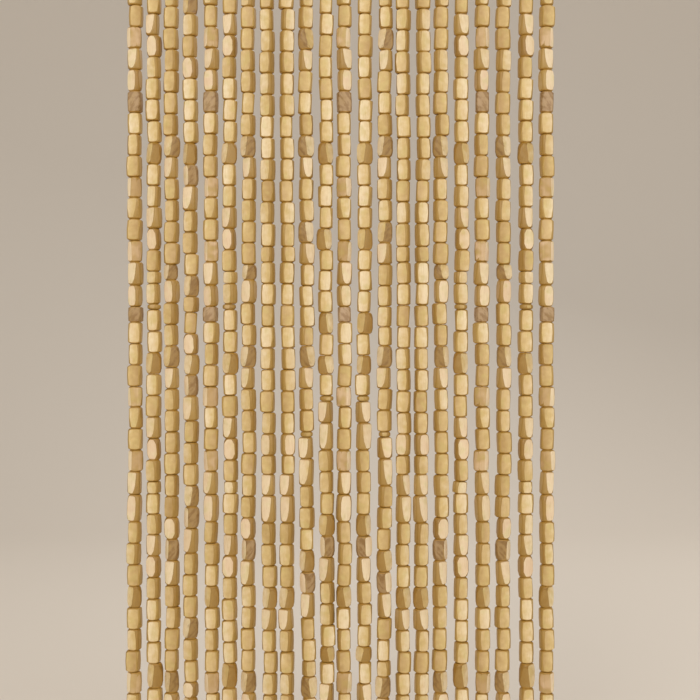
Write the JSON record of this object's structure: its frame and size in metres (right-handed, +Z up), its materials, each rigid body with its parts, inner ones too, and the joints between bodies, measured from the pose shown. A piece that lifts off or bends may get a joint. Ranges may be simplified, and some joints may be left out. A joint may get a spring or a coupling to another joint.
{
  "type": "bead curtain",
  "caption": "Bead curtain of hand-cut faceted wooden beads threaded on cords that hang straight from a narrow cotton heading tape.",
  "frame": {"origin": "middle of the heading tape's top edge, halfway through its thickness", "axes": "+Z up along the strings, +X to the right as seen from the front, front towards -Y"},
  "size_m": [0.368, 0.0125, 0.7874],
  "materials": {
    "cotton": "matte woven unbleached cotton",
    "bead_wood": "ochre-stained light wood, hand cut, satin"
  },
  "bodies": {
    "root": {"heading_tape": "cotton", "bead_strings": "bead_wood"}
  },
  "joints": []
}
